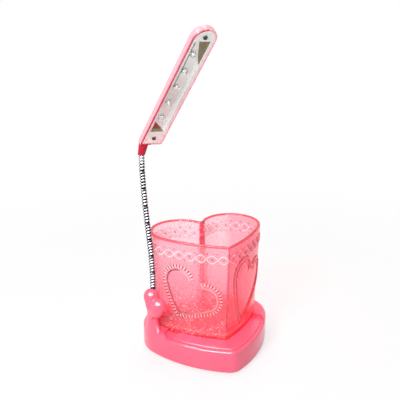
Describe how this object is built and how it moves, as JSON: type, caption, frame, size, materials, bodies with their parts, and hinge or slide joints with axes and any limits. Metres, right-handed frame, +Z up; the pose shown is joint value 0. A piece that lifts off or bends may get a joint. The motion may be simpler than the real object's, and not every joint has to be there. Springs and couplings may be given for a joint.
{
  "type": "desk lamp with pen holder",
  "caption": "Desk lamp on a heart-shaped base: a bendable metal neck carries a slim lit head beside a lift-out heart-shaped translucent pen cup.",
  "frame": {"origin": "on the table under the middle of the heart-shaped base, between its two lobes and its tip", "axes": "+Z up, the heart's tip points to -Y (the front), +X is the user's right when facing the tip from the front"},
  "size_m": [0.1269, 0.1275, 0.302],
  "materials": {
    "base_plastic": "glossy coral pink moulded plastic",
    "cup_plastic": "translucent pink moulded plastic, pebbled",
    "head_plastic": "glossy pale pink moulded plastic",
    "plate_plastic": "satin coral pink moulded plastic",
    "neck_metal": "bright plated steel winding",
    "mirror_plate": "plastic with a vacuum-plated mirror face",
    "lamp_resin": "clear epoxy",
    "board_laminate": "green printed board",
    "contact_metal": "nickel-plated spring strip",
    "cell_metal": "plain grey cell jacket",
    "screw_steel": "plated steel",
    "foot_rubber": "soft grey rubber",
    "switch_plastic": "black plastic",
    "knob_plastic": "white plastic",
    "lead_vinyl": "red insulated wire",
    "resistor_body": "beige lacquer"
  },
  "bodies": {
    "base": {"base_housing": "base_plastic", "base_lead": "lead_vinyl", "base_plate": "plate_plastic", "base_screws": "screw_steel", "battery_1": "cell_metal", "battery_2": "cell_metal", "battery_3": "cell_metal", "battery_lead": "lead_vinyl", "circuit_board": "board_laminate", "contact_bridge_front": "contact_metal", "contact_bridge_rear": "contact_metal", "contact_negative": "contact_metal", "contact_positive": "contact_metal", "gooseneck_1": "neck_metal", "heart_post": "base_plastic", "lower_ferrule": "neck_metal", "post_nut": "screw_steel", "resistor": "resistor_body", "rubber_feet": "foot_rubber", "switch_body": "switch_plastic", "switch_lead": "lead_vinyl"},
    "neck_2": {"gooseneck_2": "neck_metal", "lead_2": "lead_vinyl"},
    "neck_3": {"gooseneck_3": "neck_metal", "lead_3": "lead_vinyl"},
    "neck_4": {"gooseneck_4": "neck_metal", "lead_4": "lead_vinyl"},
    "neck_5": {"gooseneck_5": "neck_metal", "lead_5": "lead_vinyl"},
    "neck_6": {"gooseneck_6": "neck_metal", "lead_6": "lead_vinyl"},
    "neck_7": {"gooseneck_7": "neck_metal", "lead_7": "lead_vinyl"},
    "neck_8": {"gooseneck_8": "neck_metal", "lead_8": "lead_vinyl"},
    "head": {"gooseneck_9": "neck_metal", "upper_stud": "screw_steel", "head_shell": "head_plastic", "reflector": "mirror_plate", "led_board": "board_laminate", "head_screws": "screw_steel", "head_lead": "lead_vinyl", "led_1": "lamp_resin", "led_2": "lamp_resin", "led_3": "lamp_resin", "led_4": "lamp_resin", "led_5": "lamp_resin"},
    "pen_cup": {"pen_cup": "cup_plastic"},
    "battery_door": {"battery_door": "plate_plastic"},
    "switch_knob": {"switch_knob": "knob_plastic"}
  },
  "joints": [
    {"name": "neck_fore_aft_1", "type": "hinge", "parent": "base", "child": "neck_2", "pos_m": [-0.05518, 0.00411, 0.066], "axis": [1, 0, 0.0035], "range_deg": [-18, 18]},
    {"name": "neck_sideways_2", "type": "hinge", "parent": "neck_2", "child": "neck_3", "pos_m": [-0.05529, 0.00411, 0.082], "axis": [0, -1, 0], "range_deg": [-1, 18]},
    {"name": "neck_fore_aft_3", "type": "hinge", "parent": "neck_3", "child": "neck_4", "pos_m": [-0.0561, 0.00411, 0.09798], "axis": [0.9976, 0, 0.0689], "range_deg": [-18, 18]},
    {"name": "neck_sideways_4", "type": "hinge", "parent": "neck_4", "child": "neck_5", "pos_m": [-0.0575, 0.00411, 0.11392], "axis": [0, -1, 0], "range_deg": [-18, 18]},
    {"name": "neck_fore_aft_5", "type": "hinge", "parent": "neck_5", "child": "neck_6", "pos_m": [-0.059, 0.00411, 0.12985], "axis": [0.996, 0, 0.0898], "range_deg": [-18, 18]},
    {"name": "neck_sideways_6", "type": "hinge", "parent": "neck_6", "child": "neck_7", "pos_m": [-0.06037, 0.00411, 0.14579], "axis": [0, -1, 0], "range_deg": [-18, 18]},
    {"name": "neck_fore_aft_7", "type": "hinge", "parent": "neck_7", "child": "neck_8", "pos_m": [-0.06148, 0.00411, 0.16175], "axis": [0.9983, 0, 0.0584], "range_deg": [-18, 18]},
    {"name": "neck_sideways_8", "type": "hinge", "parent": "neck_8", "child": "head", "pos_m": [-0.06224, 0.00411, 0.17773], "axis": [0, -1, 0], "range_deg": [-18, 18]},
    {"name": "cup_lift", "type": "slide", "parent": "base", "child": "pen_cup", "axis": [0, 0, 1], "range_m": [0, 0.06]},
    {"name": "battery_door_release", "type": "slide", "parent": "base", "child": "battery_door", "axis": [0, 0, -1], "range_m": [0, 0.02]},
    {"name": "switch_slide", "type": "slide", "parent": "base", "child": "switch_knob", "axis": [1, 0, 0], "range_m": [0, 0.003]}
  ]
}
